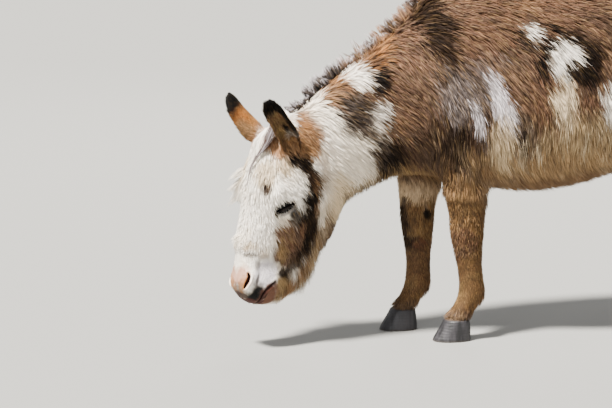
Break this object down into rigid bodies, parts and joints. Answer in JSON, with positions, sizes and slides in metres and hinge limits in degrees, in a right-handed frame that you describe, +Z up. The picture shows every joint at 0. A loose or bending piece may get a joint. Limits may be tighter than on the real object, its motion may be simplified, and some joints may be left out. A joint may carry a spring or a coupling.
{
  "type": "donkey",
  "caption": "Small spotted donkey with a shaggy coat, standing with its head lowered and turned slightly left, as a still life-size model.",
  "frame": {"origin": "on the floor, under the middle of the donkey's box", "axes": "+X towards the tail, the donkey faces -X; its left side is towards -Y; +Z up"},
  "size_m": [1.4952, 0.4662, 1.0013],
  "materials": {
    "coat": "long soft hair, brown, white and grey",
    "long_hair": "coarse upright or hanging hair, dark with pale tips",
    "skin": "matt skin with very short hair",
    "hoof": "dull horn, finely ringed",
    "eye": "wet, glossy"
  },
  "bodies": {
    "root": {"ear_left": "coat", "ear_right": "coat", "eye_left": "eye", "eye_right": "eye", "mane": "long_hair", "foreleg_left_upper": "coat", "foreleg_left_lower": "coat", "hindleg_left_upper": "coat", "hindleg_left_lower": "coat", "hoof_fore_left": "hoof", "hoof_hind_left": "hoof", "foreleg_right_upper": "coat", "foreleg_right_lower": "coat", "hindleg_right_upper": "coat", "hindleg_right_lower": "coat", "hoof_fore_right": "hoof", "hoof_hind_right": "hoof", "tail": "long_hair", "head": "coat", "neck": "coat", "trunk": "coat"}
  },
  "joints": []
}
